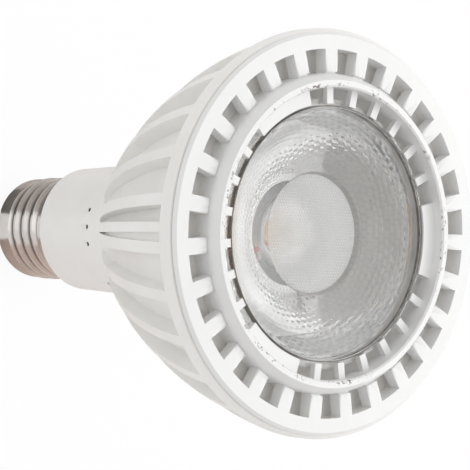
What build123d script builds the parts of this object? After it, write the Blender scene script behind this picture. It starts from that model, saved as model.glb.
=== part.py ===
from build123d import *
import math
import os

# LED spotlight bulb: E27 screw cap, plastic neck, ribbed cast heat sink, vented bezel and clear lens.
# Millimetres. Z runs along the lamp's axis towards the light, and zero is the neck's shoulder,
# where the lamp stops against its holder.

# Overall form
body_radius = 47.5
face_height = 93.0
seam_height = 26.5
rib_count = 27
rib_pitch = 360 / rib_count
fit_gap = 0.15

# Screw cap
thread_radius = 13.1
thread_depth = 1.05
thread_pitch = 3.62
thread_turns = 4
land_share = 0.3
skirt_length = 3.2
shell_wall = 0.35
shell_edge = 0.45
nose_land = 0.45
shell_taper = 2.6
shell_draw = 1.65
insulator_length = 3.6
insulator_land = 2.0
contact_radius = 4.9
contact_thickness = 1.4
contact_crown = 0.6
rivet_radius = 1.2

# Neck
neck_rear_radius = 15.4
neck_front_radius = 16.6
neck_wall = 1.8
neck_edge = 0.8
shoulder_thickness = 2.4
stem_wall = 1.5
stem_setback = 6.0
collar_depth = 2.0
spigot_length = 7.0
spigot_wall = 1.7
bore_radius = 13.55
bead_height = 0.35
bead_width = 1.2
bead_rise = 3.5
vent_radius = 0.58
vent_setback = 5.0
vent_spacing = 15.0
vent_groups = 5
vent_row = 3
vent_turn = 180.0

# Heat sink
collar_step = 0.7
collar_length = 1.5
waist_radius = 37.0
waist_drop = 35.7
rib_thickness = 2.7
rib_step = 0.1
rib_foot_step = 0.45
boss_rib_thickness = 2.3
boss_rib = 14
boss_rib_turn = 181.0
boss_pad_thickness = 3.0
boss_pad_turn = 183.8
boss_pad_drop = 1.4
block_count = 3
pocket_depth = 3.6
rib_root = 1.0
core_wall = 2.5
recess_drop = 5.2
bowl_bend_drop = 21.0
bowl_foot_radius = 30.5
band_wall = 3.3
band_width = 3.1
band_edge = 0.5
platform_drop = 31.0
platform_thickness = 8.0

# Bezel
bezel_step = 0.8
bezel_flange = 1.2
bezel_depth = 3.2
bezel_edge = 0.7
groove_depth = 0.4
spigot_clearance = 0.3
frame_wall = 1.2
window_length = 5.6
spoke_width = 3.7
lip_wall = 3.25
lip_height = 2.4
lip_slope = 1.6
lip_edge = 0.4
floor_drop = 0.4
floor_thickness = 1.6
inner_window_length = 3.75
inner_spoke_width = 1.9
block_angle = 31.0
hook_width = 8.0
hook_wall = 1.5
hook_length = 8.5
barb_reach = 1.1
barb_height = 1.6

# Lens
flange_thickness = 2.0
flange_overlap = 1.1
rim_gap = 0.35
rim_width = 0.5
rim_drop = 0.8
rim_height = 1.8
dish_land = 0.9
side_inset = 2.15
dish_depth = 3.2
dish_sag = 0.6
disc_radius = 13.9
well_depth = 1.3
well_draft = 0.5
lens_base_radius = 12.7
flare_bulge = 3.0
lens_cavity_radius = 9.4
lens_cavity_depth = 1.6
lens_cavity_crown = 8.4

# Emitter and its holder, turned together about the axis
emitter_turn = 30.0
pad_thickness = 0.3
substrate_size = 18.0
substrate_thickness = 1.4
phosphor_radius = 6.0
phosphor_thickness = 0.6
dam_wall = 1.1
dam_thickness = 0.8
holder_rim = 0.4
holder_thickness = 4.0
holder_opening = 9.0
socket_wall = 1.7
socket_height = 4.0
screw_angles = (95.0, 275.0)
screw_radius = 1.45
screw_head_radius = 2.5
screw_head_height = 1.9
screw_length = 9.0
slot_width = 4.4
slot_margin = 0.3

# Driver board
board_margin = 1.05
board_thickness = 1.6
board_setback = 6.0
board_length = 44.0
rail_depth = 1.0
rail_reach = 6.0
rail_wall = 1.2
rail_length = 30.0
rail_stop = 2.0
core_length = 11.6
core_width = 14.0
core_height = 7.0
core_bar = 1.9
core_leg_radius = 2.1
winding_radius = 5.0
winding_gap = 0.1
transformer_height = 15.5
capacitor_radius = 4.0
input_capacitor_length = 12.0
output_capacitor_length = 10.0
fuse_radius = 1.5
fuse_length = 8.0
choke_radius = 3.0
choke_height = 7.5
choke_flange = 1.2
choke_waist = 0.8
rectifier_size = (4.8, 2.4, 4.0)
chip_size = (5.0, 1.5, 4.0)

# Leads
wire_radius = 0.7
wire_gap = 0.05
wire_bend = 2.0
wire_run = 3.0
wire_spread = 4.0
wire_hole_radius = 1.3
pad_margin = 0.8

# Heights and radii that follow from the sizes above
band_front = face_height - bezel_flange
band_rear = band_front - band_width
bezel_rear = face_height - bezel_depth
lip_top = face_height + lip_height
floor_top = face_height - floor_drop
floor_bottom = floor_top - floor_thickness
rim_top = face_height - rim_drop
lens_top = rim_top - rim_height
platform_top = face_height - platform_drop
platform_bottom = platform_top - platform_thickness
band_bore = body_radius - band_wall
bezel_radius = body_radius - bezel_step
frame_radius = band_bore - spigot_clearance
window_outer = frame_radius - frame_wall
window_inner = window_outer - window_length
lip_bore = window_inner - lip_wall
tooth_bore = lip_bore - inner_window_length
rim_radius = tooth_bore - rim_gap
rim_bore = rim_radius - rim_width
collar_radius = neck_front_radius + collar_step
core_rim_radius = window_inner - fit_gap
core_bore = core_rim_radius - core_wall
hook_end = floor_bottom - hook_length
recess_floor = face_height - recess_drop
bowl_bend = face_height - bowl_bend_drop
waist_height = face_height - waist_drop
thread_root = thread_radius - thread_depth
thread_land = thread_pitch * land_share
first_crest = skirt_length + thread_pitch - thread_land / 2
last_root = first_crest + (thread_turns - 0.5) * thread_pitch
shell_length = last_root + nose_land + shell_taper
shell_end_radius = thread_root - shell_draw
stem_length = shell_length - stem_setback
stem_radius = thread_root - shell_wall - fit_gap
stem_bore = stem_radius - stem_wall
spigot_radius = bore_radius - fit_gap
spigot_bore = spigot_radius - spigot_wall
shell_end = -shell_length
insulator_end = shell_end - insulator_length
insulator_top = shell_end + insulator_land
socket_bore = lens_base_radius + fit_gap
socket_radius = socket_bore + socket_wall
screw_circle = socket_radius + fit_gap + screw_head_radius
wire_hole_circle = substrate_size / 2 + wire_bend
wire_pad_circle = phosphor_radius + dam_wall + pad_margin
slot_end = wire_hole_circle + wire_hole_radius + slot_margin
holder_radius = screw_circle + screw_head_radius + holder_rim
substrate_bottom = platform_top + pad_thickness
substrate_top = substrate_bottom + substrate_thickness
holder_top = platform_top + holder_thickness
board_face = -wire_radius - wire_gap
board_back = board_face - board_thickness
board_end = board_setback - stem_length
board_width = 2 * (stem_bore - board_margin)
board_front = board_end + board_length
wire_front = board_face + wire_radius + wire_gap
wire_back = board_back - wire_radius - wire_gap


# Makes a solid of revolution about the lamp's axis from (radius, height) points.
def turned(points):
    outline = Polyline([(r, 0, z) for r, z in points], close=True)
    return revolve(make_face(outline.edges()), Axis.Z)


# Makes the same from a list of edges drawn in the plane of the axis.
def turned_edges(edges):
    return revolve(make_face(edges), Axis.Z)


# Draws one straight edge of a profile.
def line(start, end):
    return Line((start[0], 0, start[1]), (end[0], 0, end[1]))


# Draws one round edge of a profile through a middle point.
def arc(start, middle, end):
    return ThreePointArc(*[(r, 0, z) for r, z in (start, middle, end)])


# Draws the round edge of a shallow crown, from its rim to its middle on the axis.
def crown(radius, rim, middle):
    rise = middle - rim
    sphere = (radius ** 2 + rise ** 2) / (2 * rise)
    drop = sphere - math.copysign(math.sqrt(sphere ** 2 - (radius / 2) ** 2), sphere)
    return arc((radius, rim), (radius / 2, middle - drop), (0, middle))


# Places a shape at an angle round the axis.
def turn(shape, angle):
    return Rot(0, 0, angle) * shape


# The point on the plane at a radius and an angle.
def polar(radius, angle):
    return radius * math.cos(math.radians(angle)), radius * math.sin(math.radians(angle))


# A plain block between two corners.
def block(low, high):
    size = [b - a for a, b in zip(low, high)]
    return Pos(*low) * Box(*size, align=(Align.MIN, Align.MIN, Align.MIN))


# Sheet-metal screw shell: a plain skirt with a turned-in rim, rolled thread turns and a turned-in end.
def make_screw_shell():
    half_land = thread_land / 2
    half_pitch = thread_pitch / 2
    outside = [
        (thread_radius - shell_edge, 0),
        (thread_radius, -shell_edge),
        (thread_radius, -skirt_length),
    ]
    for i in range(thread_turns):
        crest = -first_crest - i * thread_pitch
        root = crest + half_pitch
        outside.append((thread_root, root + half_land))
        outside.append((thread_root, root - half_land))
        outside.append((thread_radius, crest + half_land))
        outside.append((thread_radius, crest - half_land))
    outside.append((thread_root, crest - half_pitch + half_land))
    outside.append((thread_root, shell_end + shell_taper))
    outside.append((shell_end_radius, shell_end))
    inside = [(r - shell_wall, z) for r, z in reversed(outside)]
    return turned(outside + inside)


# Glass insulator between the shell and the contact, cast into the shell's turned-in end.
def make_cap_insulator():
    taper = (thread_root - shell_end_radius) / shell_taper
    mouth = shell_end_radius - shell_wall
    seat = mouth + taper * insulator_land
    return turned([
        (rivet_radius, insulator_top),
        (seat, insulator_top),
        (mouth, shell_end),
        (contact_radius, insulator_end),
        (rivet_radius, insulator_end),
    ])


# Crowned end contact with the rivet that carries the live lead.
def make_centre_contact():
    tip = insulator_end - contact_thickness
    rim = tip + contact_crown
    return turned_edges([
        line((0, insulator_top), (rivet_radius, insulator_top)),
        line((rivet_radius, insulator_top), (rivet_radius, insulator_end)),
        line((rivet_radius, insulator_end), (contact_radius, insulator_end)),
        line((contact_radius, insulator_end), (contact_radius, rim)),
        crown(contact_radius, rim, tip),
        line((0, tip), (0, insulator_top)),
    ])


# The neck's outer radius at a height above the shoulder.
def neck_radius(height):
    return neck_rear_radius + (neck_front_radius - neck_rear_radius) * height / seam_height


# The radial vent holes through the neck's wall, in groups round it.
def neck_vents():
    height = seam_height - vent_setback
    middle = neck_radius(height) - neck_wall / 2
    vent = Pos(middle, 0, height) * Rot(0, 90, 0) * Cylinder(vent_radius, 2 * neck_wall)
    first = vent_turn - vent_spacing * (vent_row - 1) / 2
    group = [turn(vent, first + vent_spacing * i) for i in range(vent_row)]
    return [turn(hole, 360 / vent_groups * i) for hole in group for i in range(vent_groups)]


# Two grooved rails inside the neck that hold the driver board by its edges.
def board_rails(envelope):
    half = board_width / 2
    low = board_end - rail_stop
    slot_low = board_back - fit_gap
    slot_high = board_face + fit_gap
    high = low + rail_length
    face = half - rail_depth
    rail = block((face, slot_low - rail_wall, low), (half + rail_reach, slot_high + rail_wall, high))
    rail -= block((face, slot_low, board_end), (half + fit_gap, slot_high, high))
    return (rail + mirror(rail, Plane.YZ)) & envelope


# Plastic neck: tapered wall, shoulder, stem for the screw shell and a snap spigot for the heat sink.
def make_neck_housing():
    bead = seam_height + bead_rise
    top = seam_height + spigot_length
    outside = [
        (stem_radius, -stem_length),
        (stem_radius, 0),
        (neck_rear_radius - neck_edge, 0),
        (neck_rear_radius, neck_edge),
        (neck_front_radius, seam_height),
        (spigot_radius, seam_height),
        (spigot_radius, bead - bead_width / 2),
        (spigot_radius + bead_height, bead),
        (spigot_radius, bead + bead_width / 2),
        (spigot_radius, top),
    ]
    inside = [
        (spigot_bore, top),
        (spigot_bore, seam_height - collar_depth),
        (neck_radius(seam_height - collar_depth) - neck_wall, seam_height - collar_depth),
        (neck_radius(shoulder_thickness) - neck_wall, shoulder_thickness),
        (stem_bore, shoulder_thickness),
        (stem_bore, -stem_length),
    ]
    envelope = turned([(0, -stem_length)] + outside + [(0, top)])
    neck = turned(outside + inside)
    neck += board_rails(envelope)
    return neck - neck_vents()


# A curve along the casting's side at a depth below the ribs' outer edges, from the collar to the band.
def side_outline(depth, foot_inset):
    start = (collar_radius - foot_inset, seam_height + collar_length)
    return arc(start, (waist_radius - depth, waist_height), (body_radius - depth, band_rear))


# Bowl-shaped core with the emitter platform, the bore for the neck and the recess under the bezel's windows.
def heat_sink_core():
    groove = seam_height + bead_rise
    groove_radius = bore_radius + bead_height
    half = bead_width / 2 + fit_gap
    wall = body_radius - pocket_depth
    return turned_edges([
        line((bore_radius, seam_height), (collar_radius, seam_height)),
        line((collar_radius, seam_height), (collar_radius, seam_height + collar_length)),
        side_outline(pocket_depth, 0),
        line((wall, band_rear), (window_outer, band_rear)),
        line((window_outer, band_rear), (window_outer, recess_floor)),
        line((window_outer, recess_floor), (core_rim_radius, recess_floor)),
        line((core_rim_radius, recess_floor), (core_rim_radius, bezel_rear)),
        line((core_rim_radius, bezel_rear), (core_bore, bezel_rear)),
        line((core_bore, bezel_rear), (core_bore, bowl_bend)),
        line((core_bore, bowl_bend), (bowl_foot_radius, platform_top)),
        line((bowl_foot_radius, platform_top), (0, platform_top)),
        line((0, platform_top), (0, platform_bottom)),
        line((0, platform_bottom), (bore_radius, platform_bottom)),
        line((bore_radius, platform_bottom), (bore_radius, groove + half)),
        line((bore_radius, groove + half), (groove_radius, groove)),
        line((groove_radius, groove), (bore_radius, groove - half)),
        line((bore_radius, groove - half), (bore_radius, seam_height)),
    ])


# Section of a rib, from its root in the core to a drop below the outer outline.
def rib_section(drop):
    root = pocket_depth + rib_root
    edge = drop + rib_step
    edge_foot = drop + rib_foot_step
    root_foot = edge_foot + rib_root
    foot = seam_height + collar_length
    return make_face([
        side_outline(edge, edge_foot),
        line((body_radius - edge, band_rear), (body_radius - root, band_rear)),
        side_outline(root, root_foot),
        line((collar_radius - root_foot, foot), (collar_radius - edge_foot, foot)),
    ])


# One plain rib along the side, with a flat edge.
def side_rib():
    return extrude(rib_section(0), amount=rib_thickness / 2, dir=(0, 1, 0), both=True)


# The part of a turned ring within a flat bar at an angle.
def ring_rib(ring, thickness, angle):
    half = thickness / 2
    bar = block((0, -half, seam_height), (body_radius + band_wall, half, face_height))
    return ring & turn(bar, angle)


# One boss on the side: a rib, the narrow rib close beside it and the pad that fills the slot between them.
def side_boss():
    ring = revolve(rib_section(0), Axis.Z)
    low_ring = revolve(rib_section(boss_pad_drop), Axis.Z)
    return [
        ring_rib(ring, rib_thickness, rib_pitch * boss_rib),
        ring_rib(ring, boss_rib_thickness, boss_rib_turn),
        ring_rib(low_ring, boss_pad_thickness, boss_pad_turn),
    ]


# Front band that ties the ribs together, with the inner ledge that the bezel rests on.
def heat_sink_band():
    return turned([
        (window_outer, bezel_rear),
        (window_outer, band_rear),
        (body_radius, band_rear),
        (body_radius, band_front - band_edge),
        (body_radius - band_edge, band_front),
        (band_bore, band_front),
        (band_bore, bezel_rear),
    ])


# Cast heat sink: core, band, ribs and three bosses, with the holes for leads, screws and hooks.
def make_heat_sink():
    plain_rib = side_rib()
    boss_step = rib_count // block_count
    plain = [i for i in range(rib_count) if (i - boss_rib) % boss_step]
    ribs = [turn(plain_rib, rib_pitch * i) for i in plain]
    bosses = [turn(piece, 360 / block_count * i) for piece in side_boss() for i in range(block_count)]
    sink = heat_sink_core() + heat_sink_band() + ribs + bosses
    hole_bottom = platform_bottom - fit_gap
    hole_height = platform_thickness + 2 * fit_gap
    align = (Align.CENTER, Align.CENTER, Align.MIN)
    holes = []
    for angle in (emitter_turn, emitter_turn + 180):
        bottom = Pos(*polar(wire_hole_circle, angle), hole_bottom)
        holes.append(bottom * Cylinder(wire_hole_radius, hole_height, align=align))
    screw_depth = screw_length - holder_thickness
    for angle in screw_angles:
        top = Pos(*polar(screw_circle, angle + emitter_turn), platform_top - screw_depth)
        holes.append(top * Cylinder(screw_radius, screw_depth, align=align))
    return sink - holes - hook_notches()


# Radius of the outer face of the bezel's hooks, just inside the core's bore.
def hook_face():
    return core_bore - fit_gap - barb_reach / 2


# Notches in the core's bore that the bezel's barbs snap into.
def hook_notches():
    reach = hook_face() + barb_reach + fit_gap
    half = hook_width / 2 + fit_gap
    top = hook_end + barb_height + fit_gap
    notch = block((hook_face() - hook_wall, -half, hook_end - fit_gap), (reach, half, top))
    return [turn(notch, 360 / block_count * i) for i in range(block_count)]


# One snap hook under a block of the bezel: a tongue with an outward barb.
def bezel_hook():
    top = (floor_top + floor_bottom) / 2
    face = hook_face()
    outline = Polyline(
        (face - hook_wall, 0, top),
        (face, 0, top),
        (face, 0, hook_end + barb_height),
        (face + barb_reach, 0, hook_end + barb_height),
        (face, 0, hook_end),
        (face - hook_wall, 0, hook_end),
        close=True,
    )
    return extrude(make_face(outline.edges()), amount=hook_width / 2, dir=(0, 1, 0), both=True)


# Sketch of a ring of windows: an annulus crossed by straight spokes.
def window_ring(inner, outer, width):
    middle = (inner + outer) / 2
    bar = Pos(middle, 0) * Rectangle(outer, width)
    spokes = [turn(bar, rib_pitch * i) for i in range(rib_count)]
    return Circle(outer) - Circle(inner) - spokes


# Sketch of one closed block between the inner windows.
def block_sector():
    reach = lip_bore / math.cos(math.radians(block_angle / 2))
    corners = [(0, 0), polar(reach, -block_angle / 2), polar(reach, block_angle / 2)]
    return make_face(Polyline(corners, close=True).edges())


# Plastic bezel: outer flange, vented frame, raised lip and the row of teeth that keeps the lens.
def make_front_bezel():
    body = turned([
        (tooth_bore, floor_bottom),
        (lip_bore, floor_bottom),
        (lip_bore, bezel_rear),
        (frame_radius, bezel_rear),
        (frame_radius, band_front),
        (bezel_radius - groove_depth, band_front),
        (bezel_radius, band_front + groove_depth),
        (bezel_radius, face_height - bezel_edge),
        (bezel_radius - bezel_edge, face_height),
        (window_inner, face_height),
        (window_inner - lip_slope, lip_top),
        (lip_bore + lip_edge, lip_top),
        (lip_bore, lip_top - lip_edge),
        (lip_bore, floor_top),
        (tooth_bore, floor_top),
    ])
    outer_windows = window_ring(window_inner, window_outer, spoke_width)
    inner_windows = window_ring(tooth_bore - fit_gap, lip_bore, inner_spoke_width)
    inner_windows -= [turn(block_sector(), 360 / block_count * i) for i in range(block_count)]
    body -= extrude(Pos(0, 0, bezel_rear) * outer_windows, amount=bezel_depth)
    body -= extrude(Pos(0, 0, floor_bottom) * inner_windows, amount=floor_thickness)
    return body + [turn(bezel_hook(), 360 / block_count * i) for i in range(block_count)]


# Clear lens: flange, raised rim, dished front with a sunk disc, flared side and a cavity over the emitter.
def make_lens():
    flange_radius = tooth_bore + flange_overlap
    flange_bottom = floor_bottom - flange_thickness
    side_radius = flange_radius - side_inset
    dish_radius = rim_bore - dish_land
    well_radius = disc_radius + well_draft
    dish_bottom = lens_top - dish_depth
    disc_height = dish_bottom - well_depth
    dish_middle = ((dish_radius + well_radius) / 2, lens_top - dish_depth / 2 - dish_sag)
    foot_top = holder_top + socket_height
    chord = ((side_radius + lens_base_radius) / 2, (flange_bottom + foot_top) / 2)
    side_middle = (chord[0] + flare_bulge, chord[1] - flare_bulge / 2)
    cavity_top = holder_top + lens_cavity_depth
    cavity_crown = cavity_top + lens_cavity_crown
    return turned_edges([
        line((0, disc_height), (disc_radius, disc_height)),
        line((disc_radius, disc_height), (well_radius, dish_bottom)),
        arc((well_radius, dish_bottom), dish_middle, (dish_radius, lens_top)),
        line((dish_radius, lens_top), (rim_bore, lens_top)),
        line((rim_bore, lens_top), (rim_bore, rim_top)),
        line((rim_bore, rim_top), (rim_radius, rim_top)),
        line((rim_radius, rim_top), (rim_radius, floor_bottom)),
        line((rim_radius, floor_bottom), (flange_radius, floor_bottom)),
        line((flange_radius, floor_bottom), (flange_radius, flange_bottom)),
        line((flange_radius, flange_bottom), (side_radius, flange_bottom)),
        arc((side_radius, flange_bottom), side_middle, (lens_base_radius, foot_top)),
        line((lens_base_radius, foot_top), (lens_base_radius, holder_top)),
        line((lens_base_radius, holder_top), (lens_cavity_radius, holder_top)),
        line((lens_cavity_radius, holder_top), (lens_cavity_radius, cavity_top)),
        crown(lens_cavity_radius, cavity_top, cavity_crown),
        line((0, cavity_crown), (0, disc_height)),
    ])


# Plastic holder that clamps the emitter and centres the lens in its socket.
def make_lens_holder():
    socket_top = holder_top + socket_height
    ring = turned([
        (holder_opening, platform_top),
        (holder_radius, platform_top),
        (holder_radius, holder_top),
        (socket_radius, holder_top),
        (socket_radius, socket_top),
        (socket_bore, socket_top),
        (socket_bore, holder_top),
        (holder_opening, holder_top),
    ])
    half = substrate_size / 2 + fit_gap
    ring -= turn(block((-half, -half, platform_top), (half, half, substrate_top)), emitter_turn)
    slot = block((0, -slot_width / 2, platform_top), (slot_end, slot_width / 2, holder_top))
    ring -= [turn(slot, emitter_turn + 180 * i) for i in range(2)]
    align = (Align.CENTER, Align.CENTER, Align.MIN)
    for angle in screw_angles:
        place = Pos(*polar(screw_circle, angle + emitter_turn), platform_top)
        ring -= place * Cylinder(screw_radius + fit_gap, holder_thickness, align=align)
    return ring


# The two screws of the holder, with a slot across each head.
def make_holder_screws():
    head_top = holder_top + screw_head_height
    align = (Align.CENTER, Align.CENTER, Align.MAX)
    screw = Pos(0, 0, head_top) * Cylinder(screw_head_radius, screw_head_height, align=align)
    screw += Pos(0, 0, holder_top) * Cylinder(screw_radius, screw_length, align=align)
    slot_half = screw_radius / 4
    slot_floor = head_top - screw_head_height / 2
    screw -= block((-screw_head_radius, -slot_half, slot_floor), (screw_head_radius, slot_half, head_top))
    return Compound([Pos(*polar(screw_circle, a + emitter_turn), 0) * screw for a in screw_angles])


# A square plate of the emitter stack, between two heights.
def emitter_plate(bottom, top):
    half = substrate_size / 2
    return turn(block((-half, -half, bottom), (half, half, top)), emitter_turn)


# Emitter dam: the raised ring round the phosphor.
def make_led_dam():
    align = (Align.CENTER, Align.CENTER, Align.MIN)
    ring = Cylinder(phosphor_radius + dam_wall, dam_thickness, align=align)
    ring -= Cylinder(phosphor_radius, dam_thickness, align=align)
    return Pos(0, 0, substrate_top) * ring


# Phosphor layer over the chips.
def make_led_phosphor():
    align = (Align.CENTER, Align.CENTER, Align.MIN)
    return Pos(0, 0, substrate_top) * Cylinder(phosphor_radius, phosphor_thickness, align=align)


# Driver board that stands along the axis in the neck's rails.
def make_driver_board():
    half = board_width / 2
    return block((-half, board_back, board_end), (half, board_face, board_front))


# Middle of the transformer, standing on the board's face.
def transformer_place():
    return Pos(0, board_face + winding_radius, transformer_height)


# Ferrite core: a closed frame with a round centre leg along the axis.
def make_transformer_core():
    frame = Box(core_width, core_height, core_length)
    frame -= Box(core_width - 2 * core_bar, core_height, core_length - 2 * core_bar)
    leg = Cylinder(core_leg_radius, core_length - 2 * core_bar)
    return transformer_place() * (frame + leg)


# Wound coil round the centre leg.
def make_transformer_winding():
    length = core_length - 2 * core_bar - 2 * winding_gap
    coil = Cylinder(winding_radius, length) - Cylinder(core_leg_radius + winding_gap, length)
    return transformer_place() * coil


# Can capacitor that lies on the board along the axis.
def lying_capacitor(x, bottom, length):
    can = Cylinder(capacitor_radius, length, align=(Align.CENTER, Align.CENTER, Align.MIN))
    return Pos(x, board_face + capacitor_radius, bottom) * can


# Smoothing capacitor at the cap end of the board.
def make_input_capacitor():
    return lying_capacitor(-capacitor_radius, board_end + fit_gap, input_capacitor_length)


# Output capacitor at the light end of the board.
def make_output_capacitor():
    bottom = board_front - output_capacitor_length
    return lying_capacitor(-capacitor_radius, bottom, output_capacitor_length)


# Fusible resistor that lies on the board beside the input capacitor.
def make_fuse_resistor():
    align = (Align.CENTER, Align.CENTER, Align.MIN)
    x = board_width / 2 - rail_depth - fit_gap - fuse_radius
    place = Pos(x, board_face + fuse_radius, board_end + 2 * fuse_radius)
    return place * Cylinder(fuse_radius, fuse_length, align=align)


# Drum choke that stands on the board.
def make_filter_choke():
    waist = choke_radius - choke_waist
    drum = turned([
        (0, 0),
        (choke_radius, 0),
        (choke_radius, choke_flange),
        (waist, choke_flange),
        (waist, choke_height - choke_flange),
        (choke_radius, choke_height - choke_flange),
        (choke_radius, choke_height),
        (0, choke_height),
    ])
    height = transformer_height - core_length / 2 - choke_radius - 2 * fit_gap
    x = board_width / 2 - rail_depth - fit_gap - choke_radius
    return Pos(x, board_face, height) * Rot(-90, 0, 0) * drum


# A flat component on the board's back.
def back_component(size, height):
    return Pos(0, board_back - size[1] / 2, height) * Box(*size)


# A round lead along a route with rounded corners.
def lead(points):
    path = FilletPolyline(*points, radius=wire_bend)
    profile = Plane(origin=path @ 0, z_dir=path % 0) * Circle(wire_radius)
    return sweep(profile, path=path)


# Straight lead from the contact's rivet to the board's face.
def make_live_wire():
    start = insulator_top + wire_gap
    align = (Align.CENTER, Align.CENTER, Align.MIN)
    return Pos(0, 0, start) * Cylinder(wire_radius, board_end + wire_run - start, align=align)


# Lead from the shell's wall, over the end of the stem, to the board.
def make_neutral_wire():
    wall = thread_root - shell_wall - wire_gap
    below = -stem_length - wire_radius - fit_gap
    reach = math.sqrt(wall ** 2 - (wire_back - wire_radius) ** 2)
    x = -wire_spread
    return lead([(-reach, wire_back, below), (x, wire_back, below), (x, wire_back, board_end + wire_run)])


# Lead from the board's light end, through the platform, to one pad of the emitter.
def emitter_lead(angle, x, y):
    hole = polar(wire_hole_circle, angle)
    pad = polar(wire_pad_circle, angle)
    level = substrate_top + wire_radius + wire_gap
    return lead([
        (x, y, board_front - wire_run),
        (*hole, platform_bottom - wire_run),
        (*hole, level),
        (*pad, level),
    ])


nodes = {
    "screw_shell": make_screw_shell(),
    "cap_insulator": make_cap_insulator(),
    "centre_contact": make_centre_contact(),
    "neck_housing": make_neck_housing(),
    "heat_sink": make_heat_sink(),
    "front_bezel": make_front_bezel(),
    "lens": make_lens(),
    "lens_holder": make_lens_holder(),
    "holder_screws": make_holder_screws(),
    "thermal_pad": emitter_plate(platform_top, substrate_bottom),
    "led_substrate": emitter_plate(substrate_bottom, substrate_top),
    "led_dam": make_led_dam(),
    "led_phosphor": make_led_phosphor(),
    "driver_board": make_driver_board(),
    "transformer_core": make_transformer_core(),
    "transformer_winding": make_transformer_winding(),
    "input_capacitor": make_input_capacitor(),
    "output_capacitor": make_output_capacitor(),
    "fuse_resistor": make_fuse_resistor(),
    "filter_choke": make_filter_choke(),
    "bridge_rectifier": back_component(rectifier_size, board_end + 2 * rectifier_size[2]),
    "controller_chip": back_component(chip_size, transformer_height),
    "live_wire": make_live_wire(),
    "neutral_wire": make_neutral_wire(),
    "positive_wire": emitter_lead(emitter_turn + 180, -wire_spread, wire_back),
    "negative_wire": emitter_lead(emitter_turn, wire_spread, wire_front),
}

os.makedirs("parts", exist_ok=True)
for name, shape in nodes.items():
    export_step(shape, f"parts/{name}.step")
    print(name, round(shape.volume, 1))
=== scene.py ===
"""Looks of a reflector spotlight bulb: screw cap, neck, heat sink, vented bezel, lens and emitter."""

import math

import bmesh
import bpy
from bpy.props import FloatProperty, FloatVectorProperty, IntProperty, PointerProperty
from mathutils import Matrix, Vector
from mathutils.geometry import delaunay_2d_cdt


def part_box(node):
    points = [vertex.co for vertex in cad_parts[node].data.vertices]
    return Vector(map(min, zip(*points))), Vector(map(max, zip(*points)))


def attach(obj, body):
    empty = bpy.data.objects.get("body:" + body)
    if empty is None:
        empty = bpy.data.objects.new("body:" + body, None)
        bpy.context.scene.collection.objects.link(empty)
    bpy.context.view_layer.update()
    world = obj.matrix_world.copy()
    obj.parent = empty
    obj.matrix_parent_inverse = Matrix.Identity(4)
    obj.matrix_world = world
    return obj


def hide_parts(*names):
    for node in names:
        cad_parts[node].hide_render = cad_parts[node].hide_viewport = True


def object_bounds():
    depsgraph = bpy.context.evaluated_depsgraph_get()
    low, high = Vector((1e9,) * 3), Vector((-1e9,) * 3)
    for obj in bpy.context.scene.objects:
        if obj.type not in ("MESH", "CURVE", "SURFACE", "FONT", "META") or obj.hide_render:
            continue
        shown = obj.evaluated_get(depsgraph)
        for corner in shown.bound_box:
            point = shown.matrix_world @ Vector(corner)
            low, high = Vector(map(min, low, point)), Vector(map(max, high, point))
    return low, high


bl_info = {
    "name": "Reflector Spotlight Bulb",
    "version": (1, 0, 0),
    "blender": (4, 5, 0),
    "location": "View3D > Sidebar > Bulb",
    "description": "Dresses the packed solids of a reflector spotlight bulb",
    "category": "Object",
}

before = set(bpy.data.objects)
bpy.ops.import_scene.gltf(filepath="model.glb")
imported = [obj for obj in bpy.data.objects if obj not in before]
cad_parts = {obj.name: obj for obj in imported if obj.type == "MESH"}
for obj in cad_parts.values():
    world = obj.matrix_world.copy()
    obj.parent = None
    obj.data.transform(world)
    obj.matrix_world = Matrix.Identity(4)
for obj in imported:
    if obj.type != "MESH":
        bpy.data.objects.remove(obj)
CAD_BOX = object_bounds()
BODY = "root"
MM = 0.001
TURN = 2 * math.pi
QUARTER = TURN / 4

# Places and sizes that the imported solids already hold, in metres
SHELL_LOW, SHELL_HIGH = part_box("screw_shell")
LENS_LOW, LENS_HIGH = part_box("lens")
_, NECK_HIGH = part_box("neck_housing")
SINK_LOW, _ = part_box("heat_sink")
_, BEZEL_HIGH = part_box("front_bezel")
NECK_REAR_RADIUS = 0.0154

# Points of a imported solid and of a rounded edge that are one, in metres, and the angle of a solid's creases
JOIN_DISTANCE = 0.002 * MM
WELD_DISTANCE = 0.02 * MM
JOIN_CREASE = math.radians(30.0)

# Ranges of a noise value that finishes use, and the width in metres of a soft change of finish
BROAD_NOISE = (0.35, 0.65)
FINE_NOISE = (0.3, 0.7)
SOFT_EDGE = 0.0001

# How far the floor and the cards on it lie under the cap, in metres
FLOOR_GAP = 0.0005
CARD_GAP = 0.0002


def number(name, description, default, **more):
    """A number for a settings group."""
    return FloatProperty(name=name, description=description, default=default, **more)


def count(name, description, default, least):
    """A whole number for a settings group."""
    return IntProperty(name=name, description=description, default=default, min=least)


def length(name, description, default):
    """A size in metres for a settings group."""
    return number(name, description, default, unit="LENGTH", precision=5)


def angle(name, description, degrees):
    """An angle for a settings group, written in degrees."""
    return number(name, description, math.radians(degrees), subtype="ANGLE")


def colour(name, description, default):
    """A linear colour for a settings group."""
    return FloatVectorProperty(
        name=name, description=description, default=default, subtype="COLOR", size=3, min=0.0, max=1.0
    )


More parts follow.
